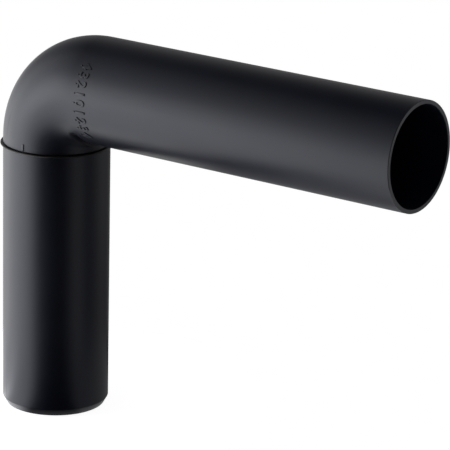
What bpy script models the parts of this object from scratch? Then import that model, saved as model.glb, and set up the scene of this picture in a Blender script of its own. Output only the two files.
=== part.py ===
"""Long-leg 90 degree waste bend: a moulded bend pushed into a drop tube through a rubber lip seal.

Metres, +Z up. The origin is the centre of the drop tube's foot, and the long leg runs along +X.
"""

import math

import bmesh
import bpy

# Driving dimensions
PIPE_RADIUS = 0.045  # outside, the same for the bend and the drop tube
BEND_WALL = 0.0035
BEND_RADIUS = 0.0473  # of the elbow's centre line
LEG_LENGTH = 0.3090  # straight, from the elbow's end to the mouth
STUB_LENGTH = 0.0044  # straight, from the elbow's start down to the shoulder
SPIGOT_LENGTH = 0.052  # below the shoulder
SPIGOT_WALL = 0.0027
FUNNEL_LENGTH = 0.012  # taper from the bend's bore to the spigot's
LEAD_IN = 0.0012  # chamfer at the spigot's end

DROP_LENGTH = 0.2278
DROP_WALL = 0.0043
FOOT_CHAMFER_WIDTH = 0.0033
FOOT_CHAMFER_HEIGHT = 0.0058

SEAL_SPACE = 0.0030  # radial, between the tube's bore and the spigot
FLANGE_THICKNESS = 0.0016
FLANGE_PROUD = 0.0024  # beyond the pipe's outside
SLEEVE_LENGTH = 0.018
SLEEVE_THICKNESS = 0.0010
LIP_COUNT = 3
LIP_TIP = 0.0005  # flat on each lip's edge

MARK_WIDTH = 0.0020
MARK_HEIGHT = 0.0060
MARK_PROUD = 0.0005
MARK_MARGIN = 0.0003  # kept clear above the shoulder's eased edge

RIM_EASE = 0.0004  # small chamfer on moulded and cut edges
CLEARANCE = 0.0003  # between pieces that touch on the real joint

# Fineness of the round surfaces
ROUND_SIDES = 64
ELBOW_STEPS = 18
EDGE_STEPS = 6

# Worked out from the sizes above
BEND_BORE = PIPE_RADIUS - BEND_WALL
DROP_BORE = PIPE_RADIUS - DROP_WALL
SPIGOT_RADIUS = DROP_BORE - SEAL_SPACE
SPIGOT_BORE = SPIGOT_RADIUS - SPIGOT_WALL
FLANGE_BOTTOM = DROP_LENGTH + CLEARANCE
FLANGE_TOP = FLANGE_BOTTOM + FLANGE_THICKNESS
SHOULDER = FLANGE_TOP + CLEARANCE
ELBOW_START = SHOULDER + STUB_LENGTH
ELBOW_LENGTH = BEND_RADIUS * math.pi / 2
MOUTH = ELBOW_LENGTH + LEG_LENGTH
CUT_PAST = 0.01  # how far a cutter runs beyond the face it opens


def clear_scene():
    for old in list(bpy.data.objects):
        bpy.data.objects.remove(old, do_unlink=True)


def new_collection(name):
    collection = bpy.data.collections.new(name)
    bpy.context.scene.collection.children.link(collection)
    return collection


def plastic(name, colour, roughness):
    material = bpy.data.materials.new(name)
    material.use_nodes = True
    shader = material.node_tree.nodes["Principled BSDF"]
    shader.inputs["Base Color"].default_value = (*colour, 1.0)
    shader.inputs["Roughness"].default_value = roughness
    shader.inputs["Metallic"].default_value = 0.0
    return material


def smooth(mesh, angle=30.0):
    mesh.shade_smooth()
    mesh.set_sharp_from_angle(angle=math.radians(angle))


def as_cutter(obj):
    obj.hide_render = True
    obj.display_type = "WIRE"
    return obj


def boolean(obj, operation, other):
    modifier = obj.modifiers.new(operation.lower() + "_" + other.name, "BOOLEAN")
    modifier.operation = operation
    modifier.solver = "EXACT"
    modifier.object = other


def arc(centre, radius, start, end, steps=EDGE_STEPS):
    """Points of a round edge in a profile's (radius, height) plane, from start to end degrees."""
    turns = [math.radians(start + (end - start) * step / steps) for step in range(steps + 1)]
    return [(centre[0] + radius * math.cos(turn), centre[1] + radius * math.sin(turn)) for turn in turns]


def turned(name, profile, collection, closed=True):
    """A (radius, height) profile turned about Z. It runs down its outer side, and is open from axis to axis."""
    mesh = bpy.data.meshes.new(name)
    obj = bpy.data.objects.new(name, mesh)
    collection.objects.link(obj)
    outline = bmesh.new()
    corners = [outline.verts.new((radius, 0.0, height)) for radius, height in profile]
    following = corners[1:] + corners[:1] if closed else corners[1:]
    for corner, after in zip(corners, following):
        outline.edges.new((corner, after))
    outline.to_mesh(mesh)
    outline.free()
    screw = obj.modifiers.new("turn", "SCREW")
    screw.axis = "Z"
    screw.angle = 2 * math.pi
    screw.steps = ROUND_SIDES
    screw.render_steps = ROUND_SIDES
    screw.use_merge_vertices = True
    screw.merge_threshold = 0.00001
    return obj


def applied(obj):
    """Turns the object's evaluated shape into its own mesh, with caps welded and smooth shading."""
    name, collection = obj.name, obj.users_collection[0]
    evaluated = obj.evaluated_get(bpy.context.evaluated_depsgraph_get())
    mesh = bpy.data.meshes.new_from_object(evaluated)
    welded = bmesh.new()
    welded.from_mesh(mesh)
    bmesh.ops.remove_doubles(welded, verts=welded.verts, dist=0.00001)
    welded.to_mesh(mesh)
    welded.free()
    made = bpy.data.objects.new(name, mesh)
    made.matrix_world = obj.matrix_world.copy()
    bpy.data.objects.remove(obj, do_unlink=True)
    collection.objects.link(made)
    made.name = name
    mesh.name = name
    smooth(mesh)
    return made


def centre_line(distance):
    """The bend's centre line, by distance from the elbow's start: up the stub, round the elbow, along the leg."""
    if distance <= 0:
        return (0.0, 0.0, ELBOW_START + distance)
    turn = min(distance, ELBOW_LENGTH) / BEND_RADIUS
    along = max(distance - ELBOW_LENGTH, 0.0)
    return (
        BEND_RADIUS - BEND_RADIUS * math.cos(turn) + along,
        0.0,
        ELBOW_START + BEND_RADIUS * math.sin(turn),
    )


def elbow_stations():
    return [ELBOW_LENGTH * step / ELBOW_STEPS for step in range(ELBOW_STEPS + 1)]


def swept(name, stations, collection):
    """A round bar along the centre line, from (distance, radius) stations, as a welded mesh."""
    curve = bpy.data.curves.new(name, "CURVE")
    curve.dimensions = "3D"
    curve.twist_mode = "MINIMUM"
    curve.bevel_depth = PIPE_RADIUS
    curve.bevel_resolution = (ROUND_SIDES - 4) // 2
    curve.use_fill_caps = True
    spline = curve.splines.new("POLY")
    spline.points.add(len(stations) - 1)
    for point, (distance, radius) in zip(spline.points, stations):
        point.co = (*centre_line(distance), 1.0)
        point.radius = radius / PIPE_RADIUS
    obj = bpy.data.objects.new(name, curve)
    collection.objects.link(obj)
    return applied(obj)


def bend_outside(collection):
    """The stub, elbow and leg as one solid bar, with its two end edges eased."""
    foot = SHOULDER - ELBOW_START
    stations = [(foot, PIPE_RADIUS - RIM_EASE), (foot + RIM_EASE, PIPE_RADIUS)]
    stations += [(distance, PIPE_RADIUS) for distance in elbow_stations()]
    stations += [(MOUTH - RIM_EASE, PIPE_RADIUS), (MOUTH, PIPE_RADIUS - RIM_EASE)]
    return swept("outlet_bend", stations, collection)


def bend_bore(collection):
    """The waterway: the spigot's bore, a taper into the elbow, the bend's bore and the eased mouth."""
    spigot_end = SHOULDER - SPIGOT_LENGTH - ELBOW_START
    taper_start = SHOULDER - ELBOW_START
    taper_end = taper_start + FUNNEL_LENGTH
    past = CUT_PAST
    stations = [(spigot_end - past, SPIGOT_BORE), (taper_start, SPIGOT_BORE)]
    stations += [
        (distance, bore_radius(distance, taper_start, taper_end))
        for distance in sorted(elbow_stations() + [taper_end])
        if distance > taper_start
    ]
    stations += [(MOUTH - RIM_EASE, BEND_BORE), (MOUTH + past, BEND_BORE + RIM_EASE + past)]
    return as_cutter(swept("bend_bore", stations, collection))


def bore_radius(distance, taper_start, taper_end):
    """The bore widens evenly along the taper and then keeps the bend's own size."""
    share = min((distance - taper_start) / (taper_end - taper_start), 1.0)
    return SPIGOT_BORE + (BEND_BORE - SPIGOT_BORE) * share


def spigot_blank(collection):
    """The spigot as a solid plug that reaches up into the stub and elbow."""
    bottom = SHOULDER - SPIGOT_LENGTH
    profile = [
        (0.0, ELBOW_START),
        (SPIGOT_RADIUS, ELBOW_START),
        (SPIGOT_RADIUS, bottom + 2 * LEAD_IN),
        (SPIGOT_RADIUS - LEAD_IN, bottom),
        (0.0, bottom),
    ]
    return as_cutter(applied(turned("spigot_blank", profile, collection, closed=False)))


def alignment_mark(name, side, collection):
    """A small upright rib from the stub onto the elbow, half sunk in the wall, on the +Y or -Y side."""
    depth = BEND_WALL / 2 + MARK_PROUD
    middle = SHOULDER + RIM_EASE + MARK_MARGIN + MARK_HEIGHT / 2
    mesh = bpy.data.meshes.new(name)
    block = bmesh.new()
    bmesh.ops.create_cube(block, size=1.0)
    bmesh.ops.scale(block, vec=(MARK_WIDTH, depth, MARK_HEIGHT), verts=block.verts)
    block.to_mesh(mesh)
    block.free()
    mark = bpy.data.objects.new(name, mesh)
    mark.location = (0.0, side * (PIPE_RADIUS + MARK_PROUD - depth / 2), middle)
    collection.objects.link(mark)
    bevel = mark.modifiers.new("round", "BEVEL")
    bevel.width = MARK_PROUD / 2
    bevel.segments = 2
    return as_cutter(mark)


def make_outlet_bend(parts, cutters, material):
    """The moulded bend: outside bar, spigot and marks joined, then the waterway cut through."""
    bend = bend_outside(parts)
    boolean(bend, "UNION", spigot_blank(cutters))
    boolean(bend, "UNION", alignment_mark("mark_front", -1, cutters))
    boolean(bend, "UNION", alignment_mark("mark_back", 1, cutters))
    boolean(bend, "DIFFERENCE", bend_bore(cutters))
    bend.data.materials.append(material)
    return bend


def make_drop_tube(parts, material):
    """Straight pipe with eased rim edges and a lead-in chamfer that leaves a narrow flat at the foot."""
    profile = [
        (PIPE_RADIUS - RIM_EASE, DROP_LENGTH),
        (PIPE_RADIUS, DROP_LENGTH - RIM_EASE),
        (PIPE_RADIUS, FOOT_CHAMFER_HEIGHT),
        (PIPE_RADIUS - FOOT_CHAMFER_WIDTH, 0.0),
        (DROP_BORE, 0.0),
        (DROP_BORE, DROP_LENGTH - RIM_EASE),
        (DROP_BORE + RIM_EASE, DROP_LENGTH),
    ]
    tube = applied(turned("drop_tube", profile, parts))
    tube.data.materials.append(material)
    return tube


def wiper_lip(root_height, sleeve_inside, tip_radius):
    """One lip's profile, going up the inside: a fin that leans down and in, towards the spigot's end."""
    fin = sleeve_inside - tip_radius
    return [
        (sleeve_inside, root_height - fin),
        (tip_radius, root_height - 2 * fin),
        (tip_radius, root_height - 2 * fin + LIP_TIP),
        (sleeve_inside, root_height),
    ]


def make_lip_seal(parts, material):
    """The rubber seal: a round-edged flange between shoulder and rim, a sleeve in the bore and wiper lips."""
    half = FLANGE_THICKNESS / 2
    edge_centre = (PIPE_RADIUS + FLANGE_PROUD - half, FLANGE_BOTTOM + half)
    sleeve_outside = DROP_BORE - CLEARANCE
    sleeve_inside = sleeve_outside - SLEEVE_THICKNESS
    sleeve_bottom = FLANGE_BOTTOM - SLEEVE_LENGTH
    tip_radius = SPIGOT_RADIUS + CLEARANCE
    collar = FLANGE_BOTTOM - FLANGE_THICKNESS
    lip_pitch = SLEEVE_LENGTH / LIP_COUNT

    profile = [(tip_radius, FLANGE_TOP)]
    profile += arc(edge_centre, half, 90, -90)
    profile += [
        (sleeve_outside, FLANGE_BOTTOM),
        (sleeve_outside, sleeve_bottom + SLEEVE_THICKNESS / 2),
        (sleeve_outside - SLEEVE_THICKNESS / 2, sleeve_bottom),
        (sleeve_inside, sleeve_bottom),
    ]
    for number in reversed(range(LIP_COUNT)):
        profile += wiper_lip(collar - lip_pitch * number, sleeve_inside, tip_radius)
    profile += [(tip_radius, collar + (sleeve_inside - tip_radius))]
    seal = applied(turned("lip_seal", profile, parts))
    seal.data.materials.append(material)
    return seal


def main():
    clear_scene()
    parts = new_collection("waste_bend")
    cutters = new_collection("cutters")
    black_plastic = plastic("black_polyethylene", (0.022, 0.023, 0.026), 0.42)
    tube_plastic = plastic("black_pipe", (0.020, 0.021, 0.024), 0.45)
    rubber = plastic("seal_rubber", (0.012, 0.012, 0.013), 0.65)
    make_drop_tube(parts, tube_plastic)
    make_lip_seal(parts, rubber)
    make_outlet_bend(parts, cutters, black_plastic)


main()
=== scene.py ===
import math

import bmesh
import bpy
import numpy as np
from mathutils import Matrix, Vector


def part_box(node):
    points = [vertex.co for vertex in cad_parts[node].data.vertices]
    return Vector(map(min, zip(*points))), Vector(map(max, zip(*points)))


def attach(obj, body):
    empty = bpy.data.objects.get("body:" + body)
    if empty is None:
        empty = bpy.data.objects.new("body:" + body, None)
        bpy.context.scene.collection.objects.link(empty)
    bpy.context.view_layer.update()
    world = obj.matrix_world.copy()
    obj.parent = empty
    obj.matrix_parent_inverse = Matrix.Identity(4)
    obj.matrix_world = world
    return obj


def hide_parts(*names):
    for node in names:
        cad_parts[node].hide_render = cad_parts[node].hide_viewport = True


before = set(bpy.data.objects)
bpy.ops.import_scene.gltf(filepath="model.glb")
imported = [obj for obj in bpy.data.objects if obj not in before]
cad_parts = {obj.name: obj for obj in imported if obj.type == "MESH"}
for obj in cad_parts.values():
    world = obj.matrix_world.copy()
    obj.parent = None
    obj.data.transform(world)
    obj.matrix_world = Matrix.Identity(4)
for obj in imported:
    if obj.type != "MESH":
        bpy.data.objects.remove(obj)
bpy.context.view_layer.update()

print("frame loaded:", ", ".join(sorted(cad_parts)))


# A socket as a value: arithmetic on wires adds the Math nodes that work it out.
class Wire:
    def __init__(self, tree, socket):
        self.tree = tree
        self.socket = socket

    def maths(self, operation, first, second):
        return self.tree.node("ShaderNodeMath", {"operation": operation}, {0: first, 1: second})

    def __add__(self, other):
        return self.maths("ADD", self, other)

    def __sub__(self, other):
        return self.maths("SUBTRACT", self, other)

    def __rsub__(self, other):
        return self.maths("SUBTRACT", other, self)

    def __mul__(self, other):
        return self.maths("MULTIPLY", self, other)

    __radd__ = __add__
    __rmul__ = __mul__


class Tree:
    def __init__(self, owner):
        owner.use_nodes = True
        self.nodes = owner.node_tree.nodes
        self.links = owner.node_tree.links

    # Settings come first, then each socket's value or the wire that feeds it.
    def node(self, kind, settings=None, sockets=None, output=0):
        made = self.nodes.new(kind)
        for name, value in (settings or {}).items():
            setattr(made, name, value)
        for name, value in (sockets or {}).items():
            self.feed(made.inputs[name], value)
        return Wire(self, made.outputs[output])

    def feed(self, socket, value):
        if isinstance(value, Wire):
            self.links.new(value.socket, socket)
        else:
            socket.default_value = value

    # off + share * (on - off), for colours.
    def mixed(self, share, off, on):
        colours = {0: share, 6: off, 7: on}
        return self.node("ShaderNodeMix", {"data_type": "RGBA"}, colours, 2)

    # 0 below low, 1 above high, with a smooth step between them.
    def step(self, value, low, high):
        sockets = {"Value": value, "From Min": low, "From Max": high}
        return self.node("ShaderNodeMapRange", {"interpolation_type": "SMOOTHSTEP"}, sockets)

    # Noise with so many features a metre along each of the place's three axes, from about 0 to 1.
    def noise(self, place, scales, detail, shift):
        sockets = {"Vector": place, "Scale": scales, "Location": (shift, shift, shift)}
        moved = self.node("ShaderNodeMapping", {}, sockets)
        return self.node("ShaderNodeTexNoise", {}, {"Vector": moved, "Scale": 1.0, "Detail": detail})

    # The normal of a surface raised by so many metres.
    def bump(self, height):
        return self.node("ShaderNodeBump", {}, {"Strength": 1.0, "Distance": 1.0, "Height": height})

    # The piece's own attributes: its place as if the pipe were straight, and masks from 0 to 1.
    def pipeSpace(self):
        return self.node("ShaderNodeAttribute", {"attribute_name": "pipeSpace"}, {}, 1)

    def mask(self, name):
        return self.node("ShaderNodeAttribute", {"attribute_name": name}, {}, 2)


# What both polythene pieces share. A noise is its features a metre along each axis, its detail and its
# shift. A range goes from none to full, and a rough share is what a pattern adds to the roughness.
plastic = {
    "mottle": ((28.0, 28.0, 28.0), 2.0, 0.0),
    "smear": ((60.0, 60.0, 14.0), 3.0, 11.0),
    "patches": ((22.0, 22.0, 22.0), 1.0, 23.0),
    "patchRange": (0.52, 0.70),
    "scuffs": ((900.0, 240.0, 26.0), 1.0, 17.0),
    "scuffRange": (0.70, 0.76),
    "rubs": ((420.0, 420.0, 420.0), 3.0, 29.0),
    "rubRange": (0.35, 0.72),
    "rings": ((2600.0, 1.0, 1.0), 2.0, 31.0),
    "grainDetail": 4.0,
    "grainShift": 3.0,
    "lineAlong": 1.5,
    "lineDetail": 3.0,
    "lineShift": 7.0,
    "mottleInTone": 0.6,
    "toneRange": (0.30, 0.72),
    "cutCover": 0.8,
    "roughShares": {"mottle": 0.06, "grain": 0.05, "smear": 0.05, "scuffs": 0.10, "rubs": 0.08},
    "roughMean": 0.08,
}


# Polythene: fine grain, faint lines along the pipe, slow mottling, scuffs in patches, rubbed edges, and a
# paler sawn end with saw rings round the axis.
def polythene(name, look):
    material = bpy.data.materials.new(name)
    tree = Tree(material)
    shader = tree.nodes["Principled BSDF"]
    place = tree.pipeSpace()
    mottle = tree.noise(place, *plastic["mottle"])
    grain = tree.noise(place, (look["grain"],) * 3, plastic["grainDetail"], plastic["grainShift"])
    lineScales = (look["lines"], look["lines"], plastic["lineAlong"])
    lines = tree.noise(place, lineScales, plastic["lineDetail"], plastic["lineShift"])
    smear = tree.noise(place, *plastic["smear"])
    patches = tree.step(tree.noise(place, *plastic["patches"]), *plastic["patchRange"])
    scuffs = tree.step(tree.noise(place, *plastic["scuffs"]), *plastic["scuffRange"]) * patches
    rubs = tree.mask("edge") * tree.step(tree.noise(place, *plastic["rubs"]), *plastic["rubRange"])
    across = tree.node("ShaderNodeVectorMath", {"operation": "MULTIPLY"}, {0: place, 1: (1.0, 1.0, 0.0)})
    fromAxis = tree.node("ShaderNodeVectorMath", {"operation": "LENGTH"}, {0: across}, 1)
    ringPlace = tree.node("ShaderNodeCombineXYZ", {}, {0: fromAxis})
    rings = tree.noise(ringPlace, *plastic["rings"]) * tree.mask("sawn")

    slow, cover = plastic["mottleInTone"], plastic["cutCover"]
    tone = tree.step(mottle * slow + grain * (1 - slow), *plastic["toneRange"])
    plain = tree.mixed(tone, look["dark"], look["light"])
    worn = tree.mixed(rubs * look["edgeWear"], plain, look["rub"])
    freshCut = tree.mask("sawn") * (tone * (1 - cover) + cover)
    tree.feed(shader.inputs["Base Color"], tree.mixed(freshCut, worn, look["cut"]))
    shares = plastic["roughShares"]
    rough = mottle * shares["mottle"] + grain * shares["grain"] + smear * shares["smear"]
    rough = rough + scuffs * shares["scuffs"] + rubs * shares["rubs"]
    tree.feed(shader.inputs["Roughness"], rough + (look["roughness"] - plastic["roughMean"]))
    height = grain * look["grainHeight"] + lines * look["lineHeight"]
    height = height + rings * look["ringHeight"] - scuffs * look["scuffDepth"]
    tree.feed(shader.inputs["Normal"], tree.bump(height))
    shader.inputs["Specular Tint"].default_value = look["sheen"]
    shader.inputs["IOR"].default_value = look["ior"]
    return material


# Moulded rubber: dull and finely pitted, with a grey bloom in patches.
def sealRubber(name, look):
    material = bpy.data.materials.new(name)
    tree = Tree(material)
    shader = tree.nodes["Principled BSDF"]
    place = tree.pipeSpace()
    grain = tree.noise(place, (look["grain"],) * 3, look["grainDetail"], 0.0)
    slow = look["patchInBloom"]
    patches = tree.noise(place, *look["patches"])
    bloom = tree.step(patches * slow + grain * (1 - slow), *look["bloomRange"])
    plain = tree.mixed(grain, look["dark"], look["light"])
    tree.feed(shader.inputs["Base Color"], tree.mixed(bloom * look["bloomShare"], plain, look["bloom"]))
    rough = grain * look["grainRough"] + bloom * look["bloomRough"]
    tree.feed(shader.inputs["Roughness"], rough + (look["roughness"] - look["roughMean"]))
    tree.feed(shader.inputs["Normal"], tree.bump(grain * look["grainHeight"]))
    shader.inputs["IOR"].default_value = look["ior"]
    return material


# A closed outline from rows of a corner's along and out, its edge's radius, and the spacing of the points
# after it. A corner is an arc tangent to both sides, and it wears if its radius is under wornBelow. A short
# guard step beside each arc keeps flat sides flat.
def roundedOutline(corners, arcSteps=7, guard=0.0003, wornBelow=0.001):
    table = np.array(corners)
    places, radii, spacing = table[:, :2], table[:, 2], table[:, 3]
    into = places - np.roll(places, 1, axis=0)
    into /= np.linalg.norm(into, axis=1)[:, None]
    onward = np.roll(into, -1, axis=0)
    turns = np.arctan2(into[:, 0] * onward[:, 1] - into[:, 1] * onward[:, 0], (into * onward).sum(axis=1))
    cut = (radii * np.tan(np.abs(turns) / 2))[:, None]
    starts, ends = places - into * cut, places + onward * cut
    points, edges = [], []
    for index, radius in enumerate(radii):
        spoke = np.sign(turns[index]) * radius * np.array([into[index, 1], -into[index, 0]])
        angles = turns[index] * np.linspace(0, 1, arcSteps + 1 if radius else 1)
        turned = np.outer(np.cos(angles), spoke) + np.outer(np.sin(angles), [-spoke[1], spoke[0]])
        points.append(starts[index] - spoke + turned)
        edges.append(np.full(len(angles), float(0 < radius < wornBelow)))
        end = starts[(index + 1) % len(radii)]
        length = np.linalg.norm(end - ends[index])
        shares = np.linspace(0, 1, int(math.ceil(length / spacing[index])) + 1)[1:-1]
        if length > 4 * guard:
            shares = np.union1d(shares, [guard / length, 1 - guard / length])
        points.append(ends[index] + shares[:, None] * (end - ends[index]))
        edges.append(np.zeros(len(shares)))
    return np.concatenate(points), np.concatenate(edges)


# Angles round the pipe: even ones, and closer ones for a short reach on each side of the places given.
def anglesRound(sides, closeAt=(), reach=0.0, closeStep=1.0):
    angles = np.arange(sides) * 2 * np.pi / sides
    for centre in closeAt:
        apart = (angles - centre + np.pi) % (2 * np.pi) - np.pi
        angles = angles[np.abs(apart) > reach + closeStep]
        near = centre + closeStep * np.arange(-round(reach / closeStep), round(reach / closeStep) + 1)
        angles = np.concatenate([angles, near % (2 * np.pi)])
    return np.sort(angles)


# point = line(along) + out * (cos(turn) * outward + sin(turn) * side), where side is -Y.
def aroundLine(line, along, out, turn):
    centre, outward = line(along)
    side = np.array([0.0, -1.0, 0.0])
    return centre + out[..., None] * (np.cos(turn)[..., None] * outward + np.sin(turn)[..., None] * side)


# Four-cornered faces between a grid's neighbouring rows and columns, which may close on themselves.
def gridFaces(rows, columns, closedRows=False, closedColumns=False):
    row = np.arange(rows if closedRows else rows - 1)[:, None]
    column = np.arange(columns if closedColumns else columns - 1)[None, :]
    nextRow, nextColumn = (row + 1) % rows, (column + 1) % columns
    corners = ((row, column), (row, nextColumn), (nextRow, nextColumn), (nextRow, column))
    return np.stack([down * columns + over for down, over in corners], axis=-1).reshape(-1, 4)


# A mesh becomes a piece: it gets its stored attributes, one for each point, and its material.
def finishPiece(name, mesh, stored, material):
    for attribute, values in stored.items():
        kind, field = ("FLOAT_VECTOR", "vector") if values.ndim == 2 else ("FLOAT", "value")
        layer = mesh.attributes.new(attribute, kind, "POINT")
        layer.data.foreach_set(field, values.astype(np.float32).ravel())
    mesh.shade_smooth()
    mesh.materials.append(material)
    piece = bpy.data.objects.new(name, mesh)
    bpy.context.scene.collection.objects.link(piece)
    print(name, "has", len(mesh.vertices), "points")
    return piece


# A piece from its points and its faces' corner numbers.
def meshPiece(name, points, faces, stored, material):
    mesh = bpy.data.meshes.new(name)
    mesh.from_pydata(points, [], faces)
    return finishPiece(name, mesh, stored, material)


# A place as if the pipe were straight: out * cos(turn), out * sin(turn), along.
def straightened(along, out, turn):
    return np.stack([out * np.cos(turn), out * np.sin(turn), along], axis=-1).reshape(-1, 3)


# A pipe's whole skin: a closed outline of (along, out) carried round its centre line, with relief added to
# out. The faces are turned over if the volume that they enclose comes out negative.
def pipeSkin(name, outline, edges, angles, line, relief, sawnAt, material):
    along, out, turn = np.broadcast_arrays(outline[:, 0][:, None], outline[:, 1][:, None], angles[None, :])
    out = out + relief(along, out, turn)
    points = aroundLine(line, along, out, turn).reshape(-1, 3)
    faces = gridFaces(*along.shape, closedRows=True, closedColumns=True)
    corner = points[faces]
    diagonals = np.cross(corner[:, 2] - corner[:, 0], corner[:, 3] - corner[:, 1])
    volume = (corner.mean(axis=1) * diagonals).sum()
    stored = {
        "pipeSpace": straightened(along, out, turn),
        "edge": np.repeat(edges, len(angles)),
        "sawn": np.isclose(along, sawnAt, atol=1e-6).ravel().astype(float),
    }
    return meshPiece(name, points, faces if volume > 0 else faces[:, ::-1], stored, material)


# A plain surface, with nothing added to out.
def noRelief(along, out, turn):
    return np.zeros(turn.shape)


# Smooth 0 to 1 as value goes from low to high.
def smoothStep(value, low, high):
    share = np.clip((value - low) / (high - low), 0, 1)
    return share * share * (3 - 2 * share)


# The tube's upright centre line, with turn 0 on the side away from the leg.
def uprightLine(along):
    outward = np.broadcast_to([-1.0, 0.0, 0.0], (*along.shape, 3))
    return np.stack([np.zeros_like(along), np.zeros_like(along), along], axis=-1), outward


# The drop tube: extruded pipe with sawn, eased ends and a lead-in chamfer at the foot. Lengths are in metres
# here and in every piece, and colours are linear.
tube = {
    "wall": 0.0043,
    "chamferWidth": 0.0033,
    "chamferHeight": 0.0058,
    "chamferEdge": 0.0009,
    "rimEdge": 0.00045,
    "footEdge": 0.00025,
    "sides": 256,
    "spacing": {"outside": 0.008, "bore": 0.012, "end": 0.001},
    "look": {
        "dark": (0.0040, 0.0058, 0.0185, 1.0),
        "light": (0.0056, 0.0078, 0.0235, 1.0),
        "sheen": (0.945, 0.957, 1.0, 1.0),
        "rub": (0.040, 0.041, 0.044, 1.0),
        "cut": (0.150, 0.155, 0.172, 1.0),
        "roughness": 0.40,
        "ior": 1.52,
        "grain": 1700.0,
        "grainHeight": 0.000007,
        "lines": 420.0,
        "lineHeight": 0.000012,
        "ringHeight": 0.00003,
        "scuffDepth": 0.000010,
        "edgeWear": 0.6,
    },
}
tubeRadius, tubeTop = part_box("drop_tube")[1].x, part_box("drop_tube")[1].z
tubeBore = tubeRadius - tube["wall"]
spacing = tube["spacing"]
tubeOutline, tubeEdges = roundedOutline([
    (tubeTop, tubeRadius, tube["rimEdge"], spacing["outside"]),
    (tube["chamferHeight"], tubeRadius, tube["chamferEdge"], spacing["end"]),
    (0.0, tubeRadius - tube["chamferWidth"], tube["footEdge"], spacing["end"]),
    (0.0, tubeBore, tube["footEdge"], spacing["bore"]),
    (tubeTop, tubeBore, tube["rimEdge"], spacing["end"]),
])
tubeSkin = pipeSkin(
    "tubeSkin", tubeOutline, tubeEdges, anglesRound(tube["sides"]), uprightLine, noRelief, tubeTop,
    polythene("pipePolythene", tube["look"]),
)
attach(tubeSkin, "tube")
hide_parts("drop_tube")
print("drop tube made")


# The lip seal: round-edged flange, sleeve and wiper lips, with a mould's flash line round the flange.
seal = {
    "flange": 0.0016,
    "flangeFlat": 0.00002,
    "clearance": 0.0003,
    "sleeve": 0.0010,
    "sleeveLength": 0.018,
    "lips": 3,
    "lipDepth": 0.0014,
    "lipTip": 0.0005,
    "flash": 0.00008,
    "flashWidth": 0.00012,
    "edge": 0.0002,
    "footEdge": 0.0004,
    "lipEdge": 0.00015,
    "throatEdge": 0.0003,
    "arcSteps": 8,
    "sides": 256,
    "spacing": {"flange": 0.002, "sleeve": 0.003, "lip": 0.001},
    "look": {
        "dark": (0.0060, 0.0060, 0.0062, 1.0),
        "light": (0.0100, 0.0100, 0.0103, 1.0),
        "bloom": (0.030, 0.030, 0.031, 1.0),
        "bloomShare": 0.35,
        "bloomRange": (0.50, 0.72),
        "bloomRough": 0.08,
        "patches": ((90.0, 90.0, 90.0), 3.0, 5.0),
        "patchInBloom": 0.7,
        "roughness": 0.45,
        "roughMean": 0.09,
        "ior": 1.50,
        "grain": 2600.0,
        "grainDetail": 4.0,
        "grainRough": 0.10,
        "grainHeight": 0.000014,
    },
}
sealLow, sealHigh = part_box("lip_seal")
flangeBottom = sealHigh.z - seal["flange"]
flangeEdge = (seal["flange"] - seal["flangeFlat"]) / 2
sleeveOut = tubeBore - seal["clearance"]
sleeveIn = sleeveOut - seal["sleeve"]
lipRadius = sleeveIn - seal["lipDepth"]
collar = flangeBottom - seal["flange"]
spacing = seal["spacing"]
sealCorners = [
    (sealHigh.z, lipRadius, seal["edge"], spacing["flange"]),
    (sealHigh.z, sealHigh.x, flangeEdge, spacing["flange"]),
    (flangeBottom, sealHigh.x, flangeEdge, spacing["flange"]),
    (flangeBottom, sleeveOut, seal["edge"], spacing["sleeve"]),
    (sealLow.z, sleeveOut, seal["footEdge"], spacing["lip"]),
    (sealLow.z, sleeveIn, seal["edge"], spacing["lip"]),
]
for lip in reversed(range(seal["lips"])):
    root = collar - seal["sleeveLength"] / seal["lips"] * lip
    tip = root - 2 * seal["lipDepth"]
    sealCorners += [
        (root - seal["lipDepth"], sleeveIn, seal["edge"], spacing["lip"]),
        (tip, lipRadius, seal["lipEdge"], spacing["lip"]),
        (tip + seal["lipTip"], lipRadius, seal["lipEdge"], spacing["lip"]),
        (root, sleeveIn, seal["edge"], spacing["lip"]),
    ]
sealCorners += [(collar + seal["lipDepth"], lipRadius, seal["throatEdge"], spacing["flange"])]
sealOutline, sealEdges = roundedOutline(sealCorners, seal["arcSteps"])


# The flange's rim is drawn in by the flash's height, and stands out again as a thin ridge halfway up.
def flashLine(along, out, turn):
    middle = sealHigh.z - seal["flange"] / 2
    ridge = np.exp(-((along - middle) / seal["flashWidth"]) ** 2)
    return seal["flash"] * (ridge - 1) * smoothStep(out, tubeRadius, sealHigh.x)


sealRing = pipeSkin(
    "sealRing", sealOutline, sealEdges * 0.0, anglesRound(seal["sides"]), uprightLine, flashLine, -1.0,
    sealRubber("blackRubber", seal["look"]),
)
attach(sealRing, "seal")
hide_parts("lip_seal")
print("lip seal made")


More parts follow.
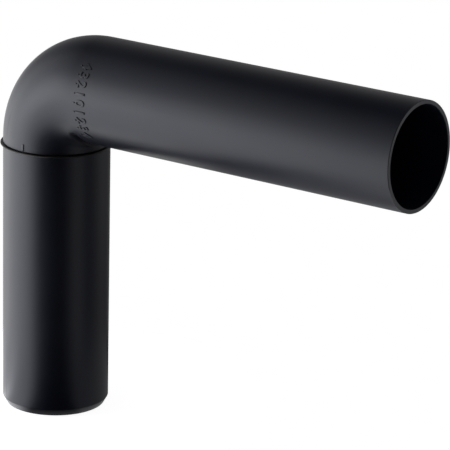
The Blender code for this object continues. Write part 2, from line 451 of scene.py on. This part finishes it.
# The moulded bend: mouth, long leg, elbow and stub outside, then shoulder, spigot, taper and bore back to
# the mouth. Its plastic is the tube's, with a moulding's coarser grain and fainter lines.
bend = {
    "wall": 0.0035,
    "radius": 0.0473,
    "spigot": 0.0377,
    "spigotWall": 0.0027,
    "leadIn": 0.0012,
    "taper": 0.012,
    "taperEdge": 0.006,
    "rimEdge": 0.0004,
    "rootEdge": 0.0003,
    "leadInEdge": 0.0006,
    "footEdges": (0.0002, 0.0004),
    "markWidth": 0.0020,
    "markHeight": 0.0060,
    "markProud": 0.0005,
    "markMargin": 0.0007,
    "markEase": 0.0003,
    "creaseDepth": 0.0034,
    "creaseWidth": 0.0024,
    "creaseBefore": 0.0140,
    "creaseTurns": (36, 50),  # degrees from the inside's middle, from full to none
    "creaseMiddle": 0.50,  # share of the depth at the inside's middle
    "creaseShoulder": 26,  # degrees from there to the full depth
    "flash": 0.00006,
    "flashWidth": 0.00022,
    "sides": 180,
    "fineReach": 0.022,  # radians beside each mark and mould line
    "fineStep": 0.002,
    "fineEnd": 0.004,  # past the elbow, where the leg's wider spacing starts
    "spacing": {
        "leg": 0.012,
        "elbowEnd": 0.0007,
        "elbowStart": 0.0011,
        "mark": 0.0003,
        "shoulder": 0.002,
        "spigot": 0.008,
        "end": 0.001,
        "bore": 0.02,
    },
    "look": tube["look"] | {
        "grain": 1400.0,
        "grainHeight": 0.000010,
        "lines": 260.0,
        "lineHeight": 0.000006,
        "scuffDepth": 0.000008,
        "edgeWear": 0.5,
    },
}
bendLow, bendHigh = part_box("outlet_bend")
legAxis = bendHigh.z - tubeRadius
elbowStart = legAxis - bend["radius"]
elbowLength = bend["radius"] * math.pi / 2
mouth = elbowLength + bendHigh.x - bend["radius"]
shoulder = sealHigh.z + seal["clearance"] - elbowStart
spigotEnd = bendLow.z - elbowStart
spigotBore = bend["spigot"] - bend["spigotWall"]
legBore = tubeRadius - bend["wall"]
markLow = shoulder + bend["markMargin"]
markTop = markLow + bend["markHeight"]


# Up the stub, round the elbow and along the leg: along is 0 at the elbow's start, and the angle turned is
# along / radius, held between 0 and a quarter turn.
def bendLine(along):
    angle = np.clip(along, 0, elbowLength) / bend["radius"]
    zero = np.zeros_like(along)
    x = bend["radius"] * (1 - np.cos(angle)) + np.maximum(along - elbowLength, 0)
    z = elbowStart + bend["radius"] * np.sin(angle) + np.minimum(along, 0)
    return np.stack([x, zero, z], axis=-1), np.stack([-np.cos(angle), zero, np.sin(angle)], axis=-1)


# Outside only: an upright mark on each side above the shoulder, a thin mould line along the top and bottom
# of the bend, and a crease across the inside of the elbow. The crease's depth falls as exp of minus the
# fourth power of the distance from its middle line, and that line is shallower halfway across the inside.
def bendRelief(along, out, turn):
    ease = bend["markEase"]
    aside = tubeRadius * np.arcsin(np.abs(np.cos(turn)))
    mark = 1 - smoothStep(aside, 0, bend["markWidth"] / 2 + ease)
    mark = mark * smoothStep(along, markLow, markLow + ease)
    mark = mark * (1 - smoothStep(along, markTop - ease, markTop))
    mouldLine = np.exp(-(tubeRadius * np.arcsin(np.abs(np.sin(turn))) / bend["flashWidth"]) ** 2)
    fromInside = np.degrees(np.arccos(np.clip(-np.cos(turn), -1, 1)))
    bent = np.clip(along, 0, elbowLength)
    tightness = 1 + tubeRadius / bend["radius"] * np.cos(turn)
    apart = (bent - elbowLength + bend["creaseBefore"]) * tightness + along - bent
    crease = np.exp(-(apart / bend["creaseWidth"]) ** 4)
    crease = crease * (1 - smoothStep(fromInside, *bend["creaseTurns"]))
    shallow = bend["creaseMiddle"]
    crease = crease * (shallow + (1 - shallow) * smoothStep(fromInside, 0, bend["creaseShoulder"]))
    skin = smoothStep(out, tubeRadius - bend["rimEdge"], tubeRadius)
    raised = bend["markProud"] * mark + bend["flash"] * (mouldLine - 1)
    return skin * (raised - bend["creaseDepth"] * crease)


# The outside's points are close together where the crease and the marks are.
spacing = bend["spacing"]
bendOutline, bendEdges = roundedOutline([
    (mouth, tubeRadius, bend["rimEdge"], spacing["leg"]),
    (elbowLength + bend["fineEnd"], tubeRadius, 0.0, spacing["elbowEnd"]),
    (elbowLength / 2, tubeRadius, 0.0, spacing["elbowStart"]),
    (markTop + bend["markEase"], tubeRadius, 0.0, spacing["mark"]),
    (shoulder, tubeRadius, bend["rimEdge"], spacing["shoulder"]),
    (shoulder, bend["spigot"], bend["rootEdge"], spacing["spigot"]),
    (spigotEnd + 2 * bend["leadIn"], bend["spigot"], bend["leadInEdge"], spacing["end"]),
    (spigotEnd, bend["spigot"] - bend["leadIn"], bend["footEdges"][0], spacing["end"]),
    (spigotEnd, spigotBore, bend["footEdges"][1], spacing["spigot"]),
    (shoulder, spigotBore, bend["taperEdge"], spacing["shoulder"]),
    (shoulder + bend["taper"], legBore, bend["taperEdge"], spacing["shoulder"]),
    (elbowLength, legBore, 0.0, spacing["bore"]),
    (mouth, legBore, bend["rimEdge"], spacing["end"]),
])
quarters = np.arange(4) * math.pi / 2
bendAngles = anglesRound(bend["sides"], quarters, bend["fineReach"], bend["fineStep"])
bendPlastic = polythene("bendPolythene", bend["look"])
bendSkin = pipeSkin(
    "bendSkin", bendOutline, bendEdges, bendAngles, bendLine, bendRelief, mouth, bendPlastic)
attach(bendSkin, "bend")
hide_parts("outlet_bend")
print("bend made")


# Raised numbers, tens of degrees, round the leg's near side, each beyond a short tick.
scale = {
    "numbers": (4, 3, 2, 1, 0, 1, 2, 3, 4),
    "pitch": math.radians(10),
    "height": 0.0084,
    "digitShare": 0.69,
    "pastElbow": 0.0047,
    "proud": 0.0006,
    "sunk": 0.0003,
    "edge": 0.00022,
    "edgeSteps": 2,
    "curveSteps": 6,
    "boldness": 0.00012,
    "tick": (0.0009, 0.0016),
    "tickGap": 0.0010,
    "cut": 0.0006,
    "weld": 0.000002,
    "crisp": math.radians(50),
}


# Digits as a flat mesh with round upper edges.
def raisedText(words, size):
    curve = bpy.data.curves.new("numbers", "FONT")
    curve.body = words
    curve.size = size
    curve.align_x = "CENTER"
    curve.extrude = (scale["proud"] + scale["sunk"]) / 2 - scale["edge"]
    curve.bevel_depth = scale["edge"]
    curve.bevel_resolution = scale["edgeSteps"]
    curve.offset = scale["boldness"]
    curve.resolution_u = scale["curveSteps"]
    holder = bpy.data.objects.new("numbers", curve)
    bpy.context.scene.collection.objects.link(holder)
    mesh = bpy.data.meshes.new_from_object(holder.evaluated_get(bpy.context.evaluated_depsgraph_get()))
    bpy.data.objects.remove(holder)
    bpy.data.curves.remove(curve)
    return mesh


# The whole scale laid flat. 0 is the pipe's skin, and its base is below that. Narrow cuts across it let it
# bend smoothly.
def flatScale():
    flat = bmesh.new()
    middle = (scale["proud"] - scale["sunk"]) / 2
    for index, number in enumerate(scale["numbers"]):
        place = (index - (len(scale["numbers"]) - 1) / 2) * scale["pitch"] * tubeRadius
        text = raisedText(str(number), scale["height"] / scale["digitShare"])
        text.transform(Matrix.Translation((place, scale["tick"][1] + scale["tickGap"], middle)))
        flat.from_mesh(text)
        bpy.data.meshes.remove(text)
        block = bmesh.ops.create_cube(flat, size=1.0)["verts"]
        bmesh.ops.scale(flat, vec=(*scale["tick"], scale["proud"] + scale["sunk"]), verts=block)
        bmesh.ops.translate(flat, vec=(place, scale["tick"][1] / 2, middle), verts=block)
        blockEdges = dict.fromkeys(edge for vert in block for edge in vert.link_edges)
        top = [edge for edge in blockEdges if all(vert.co.z > middle for vert in edge.verts)]
        bmesh.ops.bevel(
            flat, geom=top, offset=scale["edge"], segments=scale["edgeSteps"], affect="EDGES", profile=0.5)
    bmesh.ops.remove_doubles(flat, verts=flat.verts, dist=scale["weld"])
    reach = tubeRadius * scale["pitch"] * len(scale["numbers"]) / 2
    for cut in np.arange(-reach, reach, scale["cut"]):
        geometry = flat.verts[:] + flat.edges[:] + flat.faces[:]
        bmesh.ops.bisect_plane(
            flat, geom=geometry, dist=scale["weld"], plane_co=(cut, 0, 0), plane_no=(1, 0, 0))
    bmesh.ops.recalc_face_normals(flat, faces=flat.faces)
    mesh = bpy.data.meshes.new("angleScale")
    flat.to_mesh(mesh)
    flat.free()
    return mesh


# Wrapped on the leg: reading goes round it, upright runs along it towards the mouth, and raised is out from
# its skin.
scaleMesh = flatScale()
flatPlaces = np.empty(len(scaleMesh.vertices) * 3)
scaleMesh.vertices.foreach_get("co", flatPlaces)
reading, upright, raised = flatPlaces.reshape(-1, 3).T
alongs = elbowLength + scale["pastElbow"] + upright
outs = tubeRadius + raised
turns = math.pi / 2 + reading / tubeRadius
scaleMesh.vertices.foreach_set("co", aroundLine(bendLine, alongs, outs, turns).ravel())
scaleStored = {
    "pipeSpace": straightened(alongs, outs, turns),
    "edge": smoothStep(raised, 0, scale["proud"]),
}
angleScale = finishPiece("angleScale", scaleMesh, scaleStored, bendPlastic)
scaleMesh.set_sharp_from_angle(angle=scale["crisp"])
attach(angleScale, "bend")
print("angle scale made")


# The studio: a big soft lamp at the left, and two glowing cards that only reflections show, as painted
# reflections. One is a dark ball round everything, with a soft-edged window on the white beyond it and
# patches of faint grey glow. The other is an apron of grey glow on the floor. Angles are in degrees.
studio = {
    "lampAzimuth": -134,
    "lampDistance": 0.9,
    "lampSize": (0.46, 0.57),
    "lampHeight": 0.35,
    "lampRadiance": 1.7,
    "window": {"azimuths": (-185, -113), "reach": (-30, 45), "fades": (25, 76), "share": 1.0},
    # Glowing grey patches on the ball: painted reflections of the studio round the object.
    "paintedReflectionGreys": (
        {"azimuths": (100, 258), "reach": (-72, 38), "fades": (6, 65), "share": 0.39},
        {"azimuths": (133, 262), "reach": (-54, 2), "fades": (10, 20), "share": 0.91},
        {"azimuths": (-22, 8), "reach": (-42, 2), "fades": (16, 22), "share": 0.45},
        {"azimuths": (37, 77), "reach": (-20, 83), "fades": (75, 50), "share": 0.59},
        {"azimuths": (-130, 100), "reach": (-119, -60), "fades": (20, 16), "share": 3.2},
        {"azimuths": (-190, -98), "reach": (-42, 17), "fades": (24, 35), "share": 0.56},
    ),
    "ballRadius": 1.5,
    "ballHeight": 0.2,
    "ballGrid": (145, 73),
    # Glowing patches on the apron: a painted reflection of a floor lit from the lamp's side.
    "apron": (
        {"azimuths": (-150, -92), "reach": (0, 200), "fades": (24, 1), "share": 1.9},
        {"azimuths": (98, 225), "reach": (0, 200), "fades": (6, 1), "share": 0.9},
        {"azimuths": (138, 221), "reach": (0, 200), "fades": (20, 1), "share": 0.8},
        {"azimuths": (-23, 80), "reach": (0, 200), "fades": (13, 1), "share": 0.25},
        {"azimuths": (-180, 180), "reach": (0, 45), "fades": (1, 4), "share": 0.44},
    ),
    "apronRadii": (0.002, 0.19),
    "apronHeight": 0.0004,
    "apronGrid": (145, 48),
    "fill": 0.15,
    "floorRadius": 0.20,
    "floorFade": 0.05,
    "floorMiddle": 0.001,
    "floorGrid": (12, 72),
    "floorColour": (0.80, 0.80, 0.80, 1.0),
    "floorGlow": (0.90, 0.90, 0.90, 1.0),
    "floorRoughness": 0.9,
}


# A patch's share at each azimuth and reach: full inside its two ranges, fading smoothly to none across
# their edges. Reach is the elevation on the ball, and millimetres from the middle on the apron.
def softPatch(azimuth, reach, patch):
    share = patch["share"]
    for value, name, fade in zip((azimuth, reach), ("azimuths", "reach"), patch["fades"]):
        low, high = patch[name]
        apart = value - (low + high) / 2
        if name == "azimuths":
            apart = (apart + 180) % 360 - 180
        half = (high - low) / 2
        share = share * (1 - smoothStep(np.abs(apart), half - fade / 2, half + fade / 2))
    return share


# A grid of points as a card that only reflections show: clear by the share "open", and glowing by "glow".
def card(name, points, openShare, glow):
    material = bpy.data.materials.new(name)
    tree = Tree(material)
    dark = tree.node("ShaderNodeEmission", {}, {"Strength": 0.0})
    clear = tree.node("ShaderNodeBsdfTransparent")
    windowed = tree.node("ShaderNodeMixShader", {}, {0: tree.mask("open"), 1: dark, 2: clear})
    lit = tree.node("ShaderNodeEmission", {}, {"Color": tree.mask("glow")})
    both = tree.node("ShaderNodeAddShader", {}, {0: windowed, 1: lit})
    tree.feed(tree.nodes["Material Output"].inputs["Surface"], both)
    stored = {"open": openShare.ravel(), "glow": glow.ravel()}
    sheet = meshPiece(name, points.reshape(-1, 3), gridFaces(*points.shape[:2]), stored, material)
    sheet.visible_camera = False
    sheet.visible_diffuse = False
    sheet.visible_shadow = False


# An even grid of azimuths round the middle, by reaches from the lowest to the highest.
def roundGrid(lowest, highest, counts):
    return np.meshgrid(np.linspace(-180, 180, counts[0]), np.linspace(lowest, highest, counts[1]))


# The ball: radius * (cos(el) * cos(az), cos(el) * sin(az), sin(el)) round a point over the floor.
azimuth, elevation = roundGrid(-90, 90, studio["ballGrid"])
level, tilt = np.radians(azimuth), np.radians(elevation)
ball = np.stack([np.cos(tilt) * np.cos(level), np.cos(tilt) * np.sin(level), np.sin(tilt)], axis=-1)
ball = studio["ballRadius"] * ball + np.array([0.0, 0.0, studio["ballHeight"]])
# The ball's glowing patches are painted reflections, and the rest of it is a dark sheet.
paintedReflectionGreys = sum(softPatch(azimuth, elevation, patch) for patch in studio["paintedReflectionGreys"])
card("ballCard", ball, softPatch(azimuth, elevation, studio["window"]), paintedReflectionGreys)

# The apron: a flat ring on the floor, out * (cos(az), sin(az)), glowing paler on the lamp's side and behind.
# Its glow is a painted reflection of a floor lit by the lamp, paler where that light would fall.
azimuth, out = roundGrid(*studio["apronRadii"], studio["apronGrid"])
level = np.radians(azimuth)
ring = np.stack([out * np.cos(level), out * np.sin(level), 0 * out + studio["apronHeight"]], axis=-1)
paintedReflectionGreys = sum(softPatch(azimuth, 1000 * out, patch) for patch in studio["apron"])
card("apronCard", ring, 0 * out, paintedReflectionGreys)

azimuth, distance = math.radians(studio["lampAzimuth"]), studio["lampDistance"]
softBox = bpy.data.lights.new("softBox", "AREA")
softBox.shape = "RECTANGLE"
softBox.size, softBox.size_y = studio["lampSize"]
softBox.energy = studio["lampRadiance"] * math.pi * softBox.size * softBox.size_y
softBoxHolder = bpy.data.objects.new("softBox", softBox)
softBoxHolder.location = (distance * math.cos(azimuth), distance * math.sin(azimuth), studio["lampHeight"])
softBoxHolder.rotation_euler = (math.pi / 2, 0, azimuth + math.pi / 2)
softBoxHolder.visible_camera = False
bpy.context.scene.collection.objects.link(softBoxHolder)


# 1 for what the camera, a mirror or clear glass sees, 0 for light that falls on things.
def seenDirectly(tree):
    rays = tree.node("ShaderNodeLightPath").socket.node.outputs
    kinds = ("Is Camera Ray", "Is Glossy Ray", "Is Transmission Ray")
    seen, mirrored, through = (Wire(tree, rays[kind]) for kind in kinds)
    return tree.node("ShaderNodeClamp", {}, {"Value": seen + mirrored + through})


world = bpy.data.worlds.new("studio")
bpy.context.scene.world = world
air = Tree(world)
background = air.nodes["Background"]
background.inputs["Color"].default_value = (1.0, 1.0, 1.0, 1.0)
air.feed(background.inputs["Strength"], seenDirectly(air) * (1 - studio["fill"]) + studio["fill"])

# A small round floor whose rim fades into the white round it.
floorMaterial = bpy.data.materials.new("paleFloor")
paint = Tree(floorMaterial)
floorShader = paint.nodes["Principled BSDF"]
floorShader.inputs["Base Color"].default_value = studio["floorColour"]
floorShader.inputs["Roughness"].default_value = studio["floorRoughness"]
glow = paint.mixed(seenDirectly(paint), (0.0, 0.0, 0.0, 1.0), studio["floorGlow"])
paint.feed(floorShader.inputs["Emission Color"], glow)
floorShader.inputs["Emission Strength"].default_value = 1.0
ground = paint.node("ShaderNodeTexCoord", {}, {}, 3)
outwards = paint.node("ShaderNodeVectorMath", {"operation": "LENGTH"}, {0: ground}, 1)
rim = paint.step(outwards, studio["floorRadius"] - studio["floorFade"], studio["floorRadius"])
clear = paint.node("ShaderNodeBsdfTransparent")
shown = paint.node("ShaderNodeMixShader", {}, {0: rim, 1: Wire(paint, floorShader.outputs[0]), 2: clear})
paint.feed(paint.nodes["Material Output"].inputs["Surface"], shown)
ringCount, spokeCount = studio["floorGrid"]
rings = np.linspace(studio["floorMiddle"], studio["floorRadius"], ringCount)[:, None]
spokes = np.arange(spokeCount)[None, :] * 2 * math.pi / spokeCount
level = 0 * rings * spokes
floorPoints = np.stack([rings * np.cos(spokes), rings * np.sin(spokes), level], axis=-1).reshape(-1, 3)
floorFaces = gridFaces(ringCount, spokeCount, closedColumns=True)[:, ::-1]
meshPiece("floor", floorPoints, floorFaces, {}, floorMaterial)

# The camera stands at the mouth's side and above it, looks down by its pitch, and is rolled slightly.
view = {
    "place": (1.6103, -2.0367, 0.9701),
    "azimuth": 35.19,
    "pitch": 17.37,
    "roll": 1.24,
    "lens": 257.5,
    "sensor": 36.0,
}
azimuth, pitch, roll = (math.radians(view[name]) for name in ("azimuth", "pitch", "roll"))
level = np.array([-math.sin(azimuth), math.cos(azimuth), 0.0])
right = np.array([math.cos(azimuth), math.sin(azimuth), 0.0])
upward = np.array([0.0, 0.0, 1.0])
forward = level * math.cos(pitch) - upward * math.sin(pitch)
above = upward * math.cos(pitch) + level * math.sin(pitch)
cameraX = right * math.cos(roll) + above * math.sin(roll)
cameraY = above * math.cos(roll) - right * math.sin(roll)
camera = bpy.data.cameras.new("camera")
camera.lens = view["lens"]
camera.sensor_width = view["sensor"]
cameraHolder = bpy.data.objects.new("camera", camera)
cameraHolder.matrix_world = Matrix(np.column_stack([cameraX, cameraY, -forward]).tolist()).to_4x4()
cameraHolder.location = view["place"]
bpy.context.scene.collection.objects.link(cameraHolder)
bpy.context.scene.camera = cameraHolder
bpy.context.scene.view_settings.view_transform = "Standard"
print("studio made")
